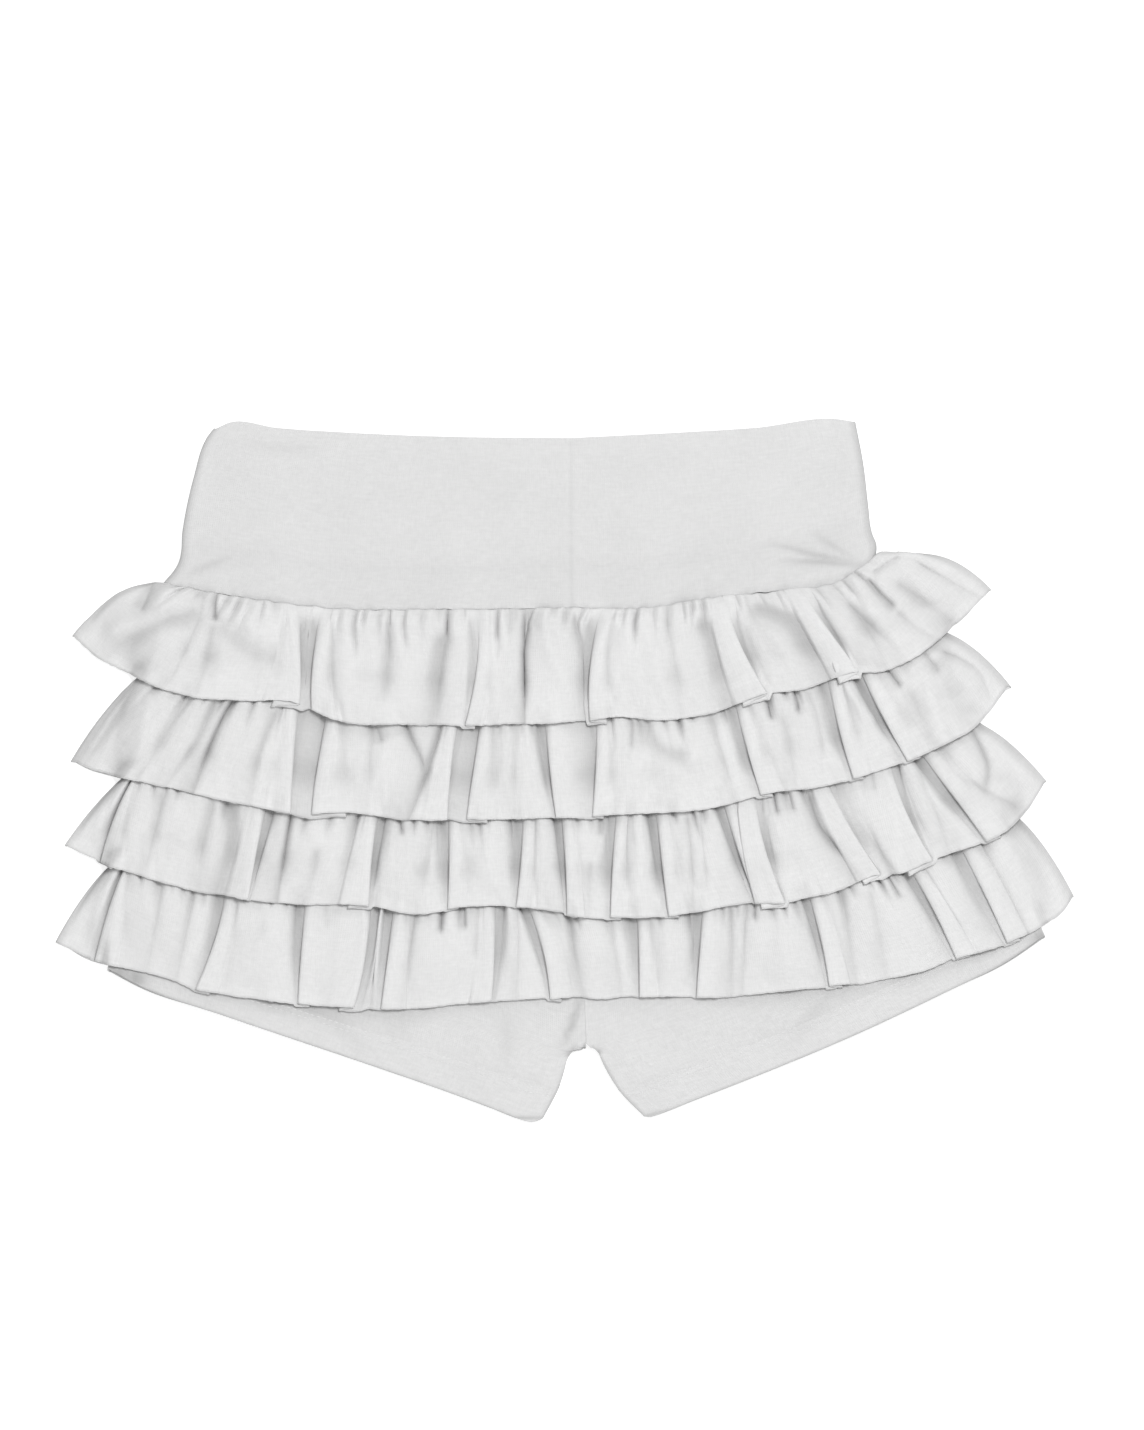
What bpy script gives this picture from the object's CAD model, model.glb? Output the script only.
import math

import bmesh
import bpy
import numpy as np
from mathutils import Matrix, Vector


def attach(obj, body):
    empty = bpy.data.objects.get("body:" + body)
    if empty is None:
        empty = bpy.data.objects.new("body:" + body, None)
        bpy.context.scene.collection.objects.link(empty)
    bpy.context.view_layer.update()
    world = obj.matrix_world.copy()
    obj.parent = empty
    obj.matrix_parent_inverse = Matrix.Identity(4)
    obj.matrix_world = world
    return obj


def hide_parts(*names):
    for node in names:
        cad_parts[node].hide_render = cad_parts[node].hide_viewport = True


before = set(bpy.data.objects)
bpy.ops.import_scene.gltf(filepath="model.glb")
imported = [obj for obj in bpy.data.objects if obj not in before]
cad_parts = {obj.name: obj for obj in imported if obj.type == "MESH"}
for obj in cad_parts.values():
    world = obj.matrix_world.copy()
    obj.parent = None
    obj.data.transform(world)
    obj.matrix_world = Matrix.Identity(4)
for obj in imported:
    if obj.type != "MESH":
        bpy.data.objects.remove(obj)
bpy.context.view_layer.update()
print("frame loaded:", len(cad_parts), "nodes")

# All shapes are drawn in mm, x to the right and y towards the waist, then moved by this centre.
mm = 0.001
layout = {
    "centre": (0.07, 0.77, 0.0),
    "gap": 0.3,  # left between one layer and the next
    "cell": 1.5,  # of the map of heights
    "half": (290.0, 205.0),  # half the size of that map
    "tries": 30,
    "touch": 0.02,  # how far a layer may sink into the gap
    "ease": 0.6,  # share of the missing height that each try adds
}


def smooth(t):
    t = np.clip(t, 0.0, 1.0)
    return t * t * (3 - 2 * t)


def bell(away, width, power=2):
    # 1 in the middle, fading out over this width
    return np.exp(-((away / width) ** power))


def joined(*shades):
    # shades from 0 to 1 that lie over one another
    light = 1.0
    for shade in shades:
        light = light * (1 - shade)
    return 1 - light


def curveThrough(at, places, values):
    # a smooth curve through the points, read at the given places
    p, q = np.asarray(places, float), np.asarray(values, float)
    at = np.clip(at, p[0], p[-1])
    slope = np.gradient(q, p)
    k = np.clip(np.searchsorted(p, at, side="right") - 1, 0, len(p) - 2)
    h = p[k + 1] - p[k]
    s = (at - p[k]) / h
    start = (2 * s**3 - 3 * s**2 + 1) * q[k] + (s**3 - 2 * s**2 + s) * h * slope[k]
    return start + (3 * s**2 - 2 * s**3) * q[k + 1] + (s**3 - s**2) * h * slope[k + 1]


def along(points, shares):
    # points at shares of the length of a line, its corners softened
    p = np.array(points, float)
    run = np.r_[0, np.cumsum(np.hypot(*np.diff(p, axis=0).T))]
    s = np.asarray(shares) * run[-1]
    read = np.interp if len(p) < 3 else curveThrough
    return np.stack([read(s, run, p[:, 0]), read(s, run, p[:, 1])], axis=-1)


def unevenness(x, y, seed, lengthX, lengthY, terms=9):
    # gentle random relief between about -1 and 1, of these wave lengths
    rng = np.random.default_rng(seed)
    total = np.zeros(np.broadcast(x, y).shape)
    for _ in range(terms):
        kx, ky = rng.normal(0, 1, 2)
        total = total + np.sin(2 * math.pi * (kx * x / lengthX + ky * y / lengthY) + rng.uniform(0, 6.28))
    return total / math.sqrt(terms)


# the pile is a map of how high all that is laid so far comes
pileHalf = np.array(layout["half"])
pileSize = np.ceil(2 * pileHalf / layout["cell"]).astype(int) + 1
pile = {"top": np.full(pileSize, -layout["gap"])}


def pileCell(points):
    # the map's cell under each point
    ij = np.rint((points[..., :2] + pileHalf) / layout["cell"]).astype(int)
    return np.clip(ij[..., 0], 0, pileSize[0] - 1), np.clip(ij[..., 1], 0, pileSize[1] - 1)


def rolled(field, cells, rule):
    # each cell by this rule from the cells around it
    for axis in (0, 1):
        field = rule([np.roll(field, k, axis) for k in range(-cells, cells + 1)], axis=0)
    return field


def spread(field, cells):
    return rolled(field, cells, np.max)


def blur(field, cells):
    return rolled(field, cells, np.mean)


def sampleAt(field, grid):
    # the map's value under each point of a sheet
    p = (grid[..., :2] + pileHalf) / layout["cell"]
    ij = np.clip(p.astype(int), 0, pileSize - 2)
    u, v = np.moveaxis(p - ij, -1, 0)
    i, j = ij[..., 0], ij[..., 1]
    low, high = [field[i, k] * (1 - u) + field[i + 1, k] * u for k in (j, j + 1)]
    return low * (1 - v) + high * v


def finer(grid):
    # the same sheet with points halfway between its points
    for axis in (0, 1):
        halfway = (np.delete(grid, 0, axis) + np.delete(grid, -1, axis)) / 2
        grid = np.insert(grid, np.arange(1, grid.shape[axis]), halfway, axis)
    return grid


def outward(grid):
    # the cloth's upward normal at each point
    across, down = np.gradient(grid, axis=1), np.gradient(grid, axis=0)
    n = np.cross(down, across)
    return n / np.maximum(np.linalg.norm(n, axis=-1, keepdims=True), 1e-9)


def layDown(grid, wall, reach, snug=0.0):
    # rests a layer on the pile and gives its middle surface; where snug is 1 it follows the pile closely
    gap, ease = layout["gap"], layout["ease"]
    cells = int(round(reach / layout["cell"]))
    bed, near = blur(spread(pile["top"], cells), cells), blur(spread(pile["top"], 1), 1)
    for _ in range(layout["tries"]):
        rest = grid.copy()
        rest[..., 2] += sampleAt(bed, grid) * (1 - snug) + sampleAt(near, grid) * snug + gap + wall / 2
        lower = finer(rest - outward(rest) * wall / 2)
        need = pile["top"][pileCell(lower)] + gap - lower[..., 2]
        if need.max() < layout["touch"]:
            break
        lift = np.zeros(pileSize)
        np.maximum.at(lift, pileCell(lower), np.clip(need, 0, None))
        bed, near = bed + ease * blur(spread(lift, 3), 2), near + ease * blur(spread(lift, 2), 1)
    rest[..., 2] += max(need.max(), 0.0)
    return rest


def countAsLaid(grid, wall):
    # raises the pile to this layer's top
    upper = finer(grid + outward(grid) * wall / 2)
    np.maximum.at(pile["top"], pileCell(upper), upper[..., 2])


# One ruffle a row: the gathered seam and the free edge as x, y points, and how far the sides bulge.
ruffleLines = {
    1: {
        "seam": [(-210.3, 98.8), (-185.9, 94.3), (-161.5, 90.3), (-121.7, 85.8), (-62.4, 85.2), (3.7, 86.0),
                 (46.8, 86.5), (68.5, 90.2), (111.5, 95.9), (145.4, 100.9), (156, 107.2), (162, 112),
                 (168.5, 115.8), (175, 113.2)],
        "edge": [(-260.4, 71), (-245.2, 58.2), (-216.1, 44.5), (-193.8, 38.4), (-171.6, 37.2),
                 (-140.3, 35.5), (-120.7, 27), (-79.3, 24.9), (-39.1, 24.3), (1.7, 25.7), (22.9, 28),
                 (62.2, 27), (76.5, 29.9), (106.2, 40.8), (123.1, 41.3), (154.4, 52.9), (167.6, 52.9),
                 (197.3, 68.3), (219.6, 89.5), (225.7, 95.9)],
        "bulge": (9.0, 8.5),
    },
    2: {
        "seam": [(-217, 54.5), (-185, 46.6), (-140, 41.3), (-71, 35.5), (-2.5, 34.9), (66, 37), (109, 48.2),
                 (155, 59.8), (183, 74.7)],
        "edge": [(-259.9, 5.6), (-254.2, 2.3), (-237.3, -3.2), (-210.8, -9.1), (-166.3, -18.3),
                 (-145.6, -22.3), (-114.9, -21.5), (-79.3, -26), (-52.8, -25), (15, -24.2), (48.4, -22.3),
                 (76.5, -20), (104, -12.8), (133.2, -8.9), (152.8, -4.2), (183, 5.9), (203.1, 15.1),
                 (218.5, 24.3), (226.5, 33.3), (234.8, 45)],
        "bulge": (7.0, 10.0),
    },
    3: {
        "seam": [(-225, 2.6), (-193, -3.8), (-140, -11.7), (-77, -14.9), (-2.5, -14.9), (61, -12.8),
                 (103.5, -4.3), (151, 6.3), (180, 14.8), (206, 30.7)],
        "edge": [(-264.3, -39.8), (-244.7, -48.8), (-231.5, -53.6), (-197, -62.6), (-167.9, -67.9),
                 (-136.1, -70.3), (-104.8, -71.5), (-79.3, -75.5), (-52.3, -72), (-13.6, -73), (3.9, -76.1),
                 (56.3, -76.5), (101.9, -70), (119.4, -69), (144.3, -63.1), (165.5, -54.6), (177.2, -54.1),
                 (194.1, -47.2), (225.4, -35.9), (238.7, -27.6), (246.1, -19.7), (254.6, -5.9)],
        "bulge": (4.0, 6.0),
    },
    4: {
        "seam": [(-232.5, -44.6), (-193, -52.5), (-140, -59.9), (-77, -64.7), (-2.5, -64.2), (61, -65.2),
                 (103.5, -59.4), (151, -51.5), (193.6, -37.7), (225, -16)],
        "edge": [(-269.1, -90.7), (-248.7, -100.8), (-234.6, -103.9), (-207.1, -110.8), (-193.8, -116.1),
                 (-176.9, -118.8), (-140.3, -123.5), (-115.9, -125.1), (-59.2, -124.1), (-39.1, -122.2),
                 (-8.3, -120.4), (39.9, -119.8), (95, -118.8), (140.1, -113.7), (166.6, -111.4),
                 (187.2, -106.6), (206.9, -99.3), (232.3, -91.7), (252.4, -82.7), (265.2, -73.2),
                 (269.2, -66.8)],
        "bulge": (6.0, 9.0),
    },
}

# Pleats of the fronts, left to right: x at the seam, x at the free edge, bow of the fold between them,
# lap (positive where the left panel lies on the right one), how much lower the cloth beneath hangs
# and, where it is not the usual, how high the cloth beneath lies.
rufflePleats = {
    1: [
        (-142.4, -140.3, 1.7, 14.3, 3.0), (-127, -133.4, -2.8, -10.6, 0.0),
        (-44.9, -52.3, 2.1, -4.2, 1.6, 2.2), (20.8, 13.7, -3.7, -8.5, 2.7),
        (82.8, 106.7, -1.7, 11.7, 3.2, 2.6), (122.6, 154.9, 0.9, 9.5, 4.2, 2.6),
    ],
    2: [
        (-140.8, -145.1, -0.1, 8.0, 0.5, 0), (-121.7, -133.1, -2.3, -17.5, 2.7, 0),
        (-55.5, -62.4, -0.7, 6.4, 0.0), (-42.2, -51.3, -0.9, -10.1, 2.7, 0), (-9.9, -4.1, -1.3, -4.8, 0.5),
        (17.6, 15, 0.3, -5.3, 1.1), (89.7, 104, -1.3, -5.8, 1.6), (139, 152.8, -1.6, -4.8, 1.1),
        (154.4, 181.4, -1.9, -6.4, 1.1),
    ],
    3: [
        (-223.5, -245.8, -1.1, -6.4, 1.1), (-156.7, -167.6, 0.2, 5.3, 0.5), (-97.9, -103.7, -0.8, 10.6, 1.6),
        (-60.8, -61.3, 0, -4.8, 0.6), (-21.5, -25.3, 0.6, -4.2, 0.5), (-2, 1.7, 0.3, -4.8, 1.1),
        (28.8, 24.5, -1.1, -4.8, 1.1), (48.4, 55.3, -0.8, -4.8, 0.8), (82.8, 101.9, -1.6, -4.8, 0.5),
        (98.2, 116.2, -2.1, 11.7, 2.7, 3.2), (134.2, 166.6, -1.3, 8.0, 3.2, 2.6),
        (169.2, 194.1, -2.4, 11.7, 2.7, 2.6), (184.1, 223.3, -1.6, -6.9, 1.1),
    ],
    4: [
        (-229.3, -248.7, 0.1, -6.4, 1.1), (-177.4, -194.9, 2.4, -6.4, 1.1),
        (-135.5, -140.8, -0.8, -5.3, 1.1), (-103.2, -111.9, 2.8, 7.4, 1.6), (-88.4, -96.8, -0.5, -8.5, 1.1),
        (-38, -39.1, 1.5, 6.4, 0.5), (-21.6, -7.3, 2.4, -5.3, 1.6), (38.4, 39.9, 0, -4.2, 0.5),
        (74.4, 70.1, -0.6, -5.3, 0.8), (126.8, 140.3, 1.0, -6.4, 1.1), (178.8, 207.4, 0.9, -6.9, 1.1),
        (205.3, 234.4, -1.5, -6.4, 1.1),
    ],
}

# Softer folds of the fronts: x, y points from the seam down, height, half width and, where it has one, lean.
ruffleFolds = {
    1: [
        ([(-217.1, 101.2), (-220.3, 92.7), (-225.1, 83.7)], -1.4, 3.2),
        ([(-203.9, 93.8), (-214.5, 88.5), (-224, 82.6), (-245.2, 71)], 1.6, 5.3),
        ([(-193.3, 88.5), (-200.7, 81.6), (-211.8, 77.9), (-227.2, 69.4), (-242.6, 61.4)], -1.6, 6.4, 0.2),
        ([(-191.7, 94.8), (-192.8, 82.1), (-199.7, 65.1), (-208.1, 48.2)], -1.2, 4.2),
        ([(-183.8, 94.8), (-184.3, 87.4), (-184.3, 77.9)], -3, 3.2),
        ([(-183.8, 84.2), (-177.4, 72.6), (-166.8, 64.1), (-145.6, 57.7)], -1.2, 7.4, 0.2),
        ([(-184.8, 77.9), (-189.6, 56.7), (-193.8, 41.8)], -1.6, 4.8, 0.2),
        ([(-92.1, 86.9), (-92.6, 75.7)], -2.2, 2.7),
        ([(-92.1, 78.9), (-94.7, 58.8), (-96.8, 32.3)], -1.4, 5.3),
        ([(-61.9, 87.9), (-62.4, 69.4)], -2.8, 3.2),
        ([(-62.9, 74.7), (-65.6, 58.8), (-70.3, 24.3)], -2.5, 7.4, -0.35),
        ([(-41.2, 85.3), (-46, 62.5), (-50.7, 31.2)], 1.2, 4.2), ([(-35.4, 86.3), (-35.9, 69.4)], -1.4, 3.7),
        ([(-22.6, 86.3), (-21.6, 62.5), (-21, 22.7)], -3.2, 3.7),
        ([(-15.2, 86.9), (-18.4, 74.7), (-21.6, 61.4)], -2.6, 2.7), ([(-18.9, 86.3), (-20, 75.7)], -2, 4.8),
        ([(-8.3, 86.3), (-9.9, 69.4), (-4.6, 54.5), (1.7, 37.6)], 1.4, 4.2),
        ([(3.9, 86.3), (7, 74.7), (11.3, 61.4), (12.3, 29.1)], -2.6, 5.3, -0.3),
        ([(52.6, 84.2), (56.9, 58.8), (63.2, 25.9)], -0.9, 4.8),
        ([(63.2, 90.6), (67.5, 78.9), (75.9, 65.1)], 1.7, 3.7),
        ([(70.1, 82.1), (78.6, 65.7), (83.4, 46.1), (87.6, 31.2)], -2.3, 7.4, -0.1),
        ([(88.7, 61.4), (96.6, 48.2), (102.4, 37.6)], 1, 4.2),
        ([(94, 87.4), (107.7, 84.2), (119.4, 78.9), (128.9, 66.7), (142.2, 48.2)], -2.6, 9.0),
        ([(97.1, 75.7), (111.5, 69.4), (119.4, 54.5)], 1, 4.8),
        ([(134.2, 99.1), (156.5, 82.6), (178.8, 60.4)], -1.1, 4.8),
        ([(159.7, 102.2), (167.1, 93.8), (175.6, 85.3)], -2.2, 4.2, -0.1),
        ([(174.5, 85.3), (185.7, 76.3), (197.3, 68.8)], -1.1, 3.2),
        ([(196.3, 68.8), (200.5, 73.1), (204.2, 79.4)], -1.7, 2.4),
        ([(161.8, 104.9), (169.8, 109.1), (177.7, 113.9)], -1.7, 2.7),
        ([(156.5, 90.6), (167.1, 78.9), (178.8, 61.4)], 1, 4.2),
        ([(174, 101.2), (188.3, 91.1), (206.9, 78.9)], -1, 3.7),
        ([(184.1, 111.8), (201.6, 101.7), (220.6, 92.2)], -1.4, 3.2),
        ([(149.1, 90.6), (160.7, 72), (169.8, 54.5)], -1.2, 4.8),
        ([(-235.7, 96.9), (-244.2, 87.4), (-250.5, 76.8)], -0.8, 4.2),
        ([(-116.4, 84.2), (-117, 58.8), (-113.8, 29.1)], 0.8, 5.3),
        ([(-172.1, 85.3), (-160.4, 69.4)], 0.8, 4.8),
    ],
    2: [
        ([(-195.4, 41.8), (-209.2, 22.7), (-223, -0.6)], -1.2, 4.8),
        ([(-183.2, 40.8), (-196.5, 13.2), (-210.3, -8)], -1.8, 4.2, 0.2),
        ([(-173.7, 40.8), (-186.4, 13.2), (-197, -15.4)], -3, 4.2, 0.2),
        ([(-150.9, 34.4), (-161, 11.1), (-166.3, -18.6)], -1.8, 4.8),
        ([(-85.2, 29.1), (-80.4, 14.3), (-74, -1.6)], -2.4, 3.7),
        ([(-64, 28), (-67.7, 13.7), (-73.5, -2.7), (-82.5, -26)], -2.8, 4.8),
        ([(-25.3, 29.1), (-27.4, 0.5), (-25.8, -26)], -1, 5.3), ([(-100, 25.9), (-95.8, 14.3)], -1.6, 4.2),
        ([(35.1, 29.1), (34.1, 10)], -1.3, 3.2),
        ([(40.4, 29.1), (44.1, 17.4), (53.7, 10), (66.4, 6.8)], -1.3, 6.4),
        ([(47.9, 29.1), (56.9, 5.8), (61.1, -21.8)], 0.8, 6.4),
        ([(75.9, 33.3), (81.8, 12.7), (90.8, -18.6)], -1.4, 4.8), ([(83.4, 34.4), (88.7, 25.9)], -1.8, 3.7),
        ([(106.7, 40.8), (108.8, 25.9)], -2.2, 2.7),
        ([(114.1, 32.3), (119.4, 5.8), (123.6, -13.3)], -1, 4.8), ([(121, 43.9), (123.6, 29.6)], -2.2, 2.7),
        ([(127.9, 42.9), (134.2, 27), (136.4, 5.8)], -1.2, 4.2),
        ([(147, 47.1), (154.4, 35.5), (165, 24.9)], 1.4, 3.7),
        ([(155.4, 42.9), (162.9, 31.2), (170.3, 21.7)], -1.2, 3.7),
        ([(168.7, 56.7), (177.7, 43.4)], -2, 2.7), ([(189.4, 63), (198.9, 51.4)], -1.3, 3.2),
        ([(180.4, 45), (187.2, 29.6), (193.6, 10)], -0.7, 4.2),
        ([(189.4, 45.5), (195.7, 31.2), (203.1, 11.1)], 1.2, 4.8),
        ([(198.4, 64.1), (210.6, 58.8), (219.6, 52.4), (223.8, 42.9)], -1.7, 3.2),
        ([(180.4, 50.8), (191, 58.8), (204.2, 63)], 1.2, 3.2), ([(-225.6, 48.7), (-254.8, 2.6)], -2.2, 5.8),
        ([(-102.1, 27), (-105.3, -23.9)], -0.8, 4.8), ([(-124.4, 16.4), (-128.6, -10.1)], 0.8, 4.8),
    ],
    3: [
        ([(-211.8, -10.1), (-221.9, -53.6)], -1.2, 4.8),
        ([(-185.9, -13.3), (-192.8, -45.1), (-193.8, -64.2)], -1.4, 4.8),
        ([(-176.9, -13.3), (-175.8, -39.8), (-184.8, -67.4)], -2.6, 6.9, 0.2),
        ([(-144, -18.6), (-148.2, -45.1), (-152, -71.6)], -2.8, 3.7, 0.2),
        ([(-130.8, -39.3), (-136.1, -72.7)], -1.2, 4.8),
        ([(-109, -19.7), (-113.8, -48.8), (-120.7, -74.8)], -1.6, 5.3),
        ([(-96.8, -19.7), (-96.8, -32.4)], -2.2, 2.7), ([(-87.3, -21.8), (-86.2, -34.5)], -1.8, 2.7),
        ([(-68.2, -21.8), (-71.4, -41.9), (-76.2, -62.1)], -1.3, 4.8),
        ([(-41.2, -26), (-40.1, -44.6), (-39.1, -64.2)], 1, 5.8),
        ([(-29, -20.7), (-26.9, -34), (-24.8, -45.6)], -2.6, 3.2),
        ([(-13.1, -26), (-12.6, -72.7)], 0.7, 4.8),
        ([(-1.4, -21.8), (0.7, -50.4), (1.7, -78)], -1.5, 5.3, 0.3),
        ([(18.7, -21.8), (18.7, -34.5)], -2, 2.7), ([(14.5, -47.2), (13.9, -76.9)], -1.2, 4.2),
        ([(27.7, -21.8), (25.1, -48.3)], -1.4, 3.7), ([(38.8, -23.9), (41.5, -74.8)], 0.8, 5.3),
        ([(64.3, -19.7), (66.4, -50.4), (68.5, -74.8)], -1.3, 3.7),
        ([(71.7, -19.7), (73.8, -41.9), (75.9, -65.8)], -1, 3.7),
        ([(83.4, -15.4), (87.6, -28.7), (93.4, -46.2), (102.4, -73.7)], -2.2, 4.8, 0.3),
        ([(109.9, -9.1), (112.5, -23.9)], -2.2, 2.7), ([(118.3, -10.1), (120.5, -21.8)], -1.6, 2.7),
        ([(127.4, -8), (135.3, -30.3), (147, -44), (157.6, -57.8)], -2.6, 4.8, 0.2),
        ([(144.8, -3.8), (154.9, -26.6), (165, -39.8), (176.6, -55.2)], -2.6, 4.2, 0.2),
        ([(161.8, 2.6), (164.5, -11.2)], -2.2, 2.7),
        ([(171.3, 5.8), (178.8, -13.3), (193.6, -46.2)], -1.4, 3.7),
        ([(186.2, 3.1), (194.7, -18.1), (204.2, -44.6)], -1.2, 4.2),
        ([(199.4, 12.1), (204.2, 0.5), (218, -8), (237.1, -17.5)], -1.7, 3.2),
        ([(214.3, 23.8), (220.6, 11.6), (224.3, -0.6), (221.2, -13.3)], -1.8, 3.2),
        ([(225.4, 16.4), (237.1, 5.8), (246.6, -2.7)], 0.8, 4.2),
    ],
    4: [
        ([(-211.8, -53.6), (-221.4, -107.6)], -1.2, 4.8),
        ([(-193.8, -56.8), (-198.1, -74.3), (-205.5, -112.9)], -1.6, 4.2),
        ([(-182.7, -82.7), (-169.4, -87), (-156.2, -83.3)], -0.5, 6.9),
        ([(-154.6, -63.1), (-156.2, -123.5)], 0.6, 6.4), ([(-126, -64.7), (-126, -84.3)], -2.4, 2.7),
        ([(-119.1, -68.4), (-124.4, -124.6)], -0.8, 4.2), ([(-100.5, -71.1), (-101.6, -126.7)], -2.2, 2.7),
        ([(-78.3, -69.5), (-82.5, -98.1), (-86.2, -126.7)], -1.6, 3.7),
        ([(-65, -68.4), (-65.6, -86.4)], -2.2, 2.7), ([(-53.4, -68.4), (-53.4, -84.3)], -2.2, 2.7),
        ([(-46, -68.4), (-47, -100.2)], -1, 4.2), ([(-24.8, -68.4), (-25.3, -124.6)], -1.3, 4.2),
        ([(1.7, -68.4), (5.5, -101.3), (11.8, -123.5)], -2.2, 5.3),
        ([(23.5, -69.5), (26.1, -89.6), (30.4, -118.2)], -1.4, 4.2),
        ([(52.6, -71.1), (54.7, -118.2)], 0.8, 5.3), ([(64.3, -69.5), (68, -84.3), (70.6, -97)], -2.4, 3.2),
        ([(87.1, -67.4), (87.6, -121.4)], -1.8, 4.2), ([(96.1, -66.3), (95, -121.4)], -1.5, 3.7),
        ([(100.9, -65.2), (101.4, -80.1)], -1.8, 2.7), ([(113, -65.8), (119.4, -115.1)], 0.8, 6.4),
        ([(127.9, -62.1), (133.7, -83.3), (140.6, -116.1)], -1.8, 5.3, 0.3),
        ([(145.9, -57.8), (149.6, -81.7), (156, -115.1)], -1.7, 4.8),
        ([(169.8, -53.6), (177.7, -67.9)], -2, 2.7), ([(160.7, -60.5), (171.3, -111.9)], -1, 4.8),
        ([(180.4, -51.5), (193.6, -73.2), (208.4, -101.3)], -1.6, 5.3, 0.3),
        ([(192.5, -59.9), (204.2, -73.7), (219, -91.7)], 1.2, 4.8),
        ([(207.4, -41.9), (216.9, -64.7), (235.5, -93.9)], -1.6, 5.3, 0.3),
        ([(217.5, -34.5), (230.7, -57.8), (246.6, -84.3)], -1.3, 4.2),
    ],
}

ruffle = {
    "wall": 0.7,
    "rows": 40,
    "step": 0.9,  # between columns, along the cloth
    "panel": 5.0,  # height of the panels over the layer below
    "crown": 0.3,  # how much higher the middle of a wide panel is, as a share
    "wide": (4.5, 12, 45),  # widths in mm: of a column, for columns beside a fold, for a full crown
    "edgeSnug": 0.95,  # how closely the free edge follows what it lies on
    "settle": (0.9, 0.36),  # share of it that is lost at the free edge, on panels and on pleats
    "settleFrom": {1: 0.64, 2: 0.64, 3: 0.64, 4: 0.45},
    "riseBy": {1: 0.22, 2: 0.13, 3: 0.13, 4: 0.13},  # share of the depth in which it comes up from the seam
    "root": {1: 1.4, 2: 0.2, 3: 0.2, 4: 0.2},  # height of the seam, on the first that of the band's foot
    "open": {1: 0.3, 2: 0.2, 3: 0.2, 4: 0.2},  # share of the depth in which a pleat folds over
    "belly": 1.3,  # how far the gathered cloth stands up off the seam
    "ridge": 1.8,
    "edgeCurl": 0.42,
    "edgeWaves": ((0.45, 40, 60), (0.14, 50, 7)),  # height, seed, wave length
    "cut": {1: 1.02, 2: 1.10, 3: 1.16, 4: 1.16},  # length of each strip before it is gathered, in metres
    "cutDepth": 0.062,
    "reachFront": 6.0,
    "reachBack": 4.5,
}
pleat = {
    "rise": 3.7,
    "lift": {1: 0.0, 2: 0.8, 3: 0.8, 4: 0.6},  # how high the cloth beneath a pleat lies
    "lifted": (1.2, 2.6),  # from the first to the second height a pleat is made flatter
    "room": 6.0,  # half of its width at the seam
    "belongs": (0.6, 0.9, 1, 1, 1, 1, 1, 1, 1),  # how much each of its columns is part of the fold
    "hang": (0, 0, 0, 0, 0.3, 1, 1, 1, 1),
    "inShade": (0, 0, 0, 0, 0.4, 0.8, 1, 1, 0.7),
    "dark": 0.36,  # shade beside the fold, on its lower side
    "darkReach": 1.1,
    "beside": (1.2, 2.6),  # extra columns this far from it
    "dive": 3.6,  # how far from it the cloth on its lower side starts to sink
}
# troughs, with what changes by their depth or their half width in mm
trough = {
    "takes": 0.33,  # share of the height that each mm in the table takes away
    "sharp": ((4, 7), (1.15, 2.2)),
    "draw": ((0.8, 3.0), (0.2, 0.5)),  # how far the cloth beside it is drawn in
    "drawWide": ((4, 8), (1.0, 0.6)),
    "drawReach": 1.9,
    "shade": (0.42, 0.34),  # from the seam, and more towards the free edge
    "shadeLeft": ((5, 7), (1.4, 1.1)),
    "shadeRight": ((5, 7), (0.35, 0.9)),
    "line": ((3.5, 6.5), (0.6, 0.0)),  # shade of the line at its bottom
    "lineWidth": 1.0,
    "paler": ((2, 3), (0.45, 0.1)),  # how much paler it gets down its length
}
# small gathers along the seam; each range is drawn from anew
gather = {
    "pitch": (4.2, 9.5),
    "reach": (0.16, 0.5),
    "depth": (0.15, 0.9),
    "width": (0.9, 1.9),
    "shift": (-2.0, 2.0),
    "beside": 0.7,  # height of the roll beside a gather
    "pucker": 2.3,  # height of the small bump right under the seam
}
rowShares = np.linspace(0, 1, ruffle["rows"])
t = rowShares[:, None]  # 0 at the seam, 1 at the free edge


def pleatSection(lap, room, lift):
    # a pleat from its upper panel round under it: spread flat at the seam, folded below
    flatX = np.linspace(-room, room, 9)
    flatZ = np.array([0.6, 0.5, 0.3, 0.1, 0.0, 0.1, 0.2, 0.4, 0.5])
    rise = pleat["rise"]
    fold = np.array([
        (-lap - 4.0, rise * np.interp(lift, pleat["lifted"], (0.85, 1.0))), (-lap * 0.5 - 1.0, rise * 0.97),
        (-1.2, rise), (0.2, rise - 0.7), (-0.6, rise - 1.6),
        (-lap + 0.9, 1.05), (-lap - 0.4, 0.8), (-lap + 0.8, 0.1), (1.6, 0.0),
    ])
    flatter = np.interp(lift, (0, *pleat["lifted"]), (1.0, 0.9, 0.62))
    return flatX, flatZ, fold[:, 0], fold[:, 1] * flatter + lift


def rounded(path):
    # the same line as short straight runs, its corners softened
    return along(path, np.linspace(0, 1, 2 if len(path) < 3 else 16))


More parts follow.
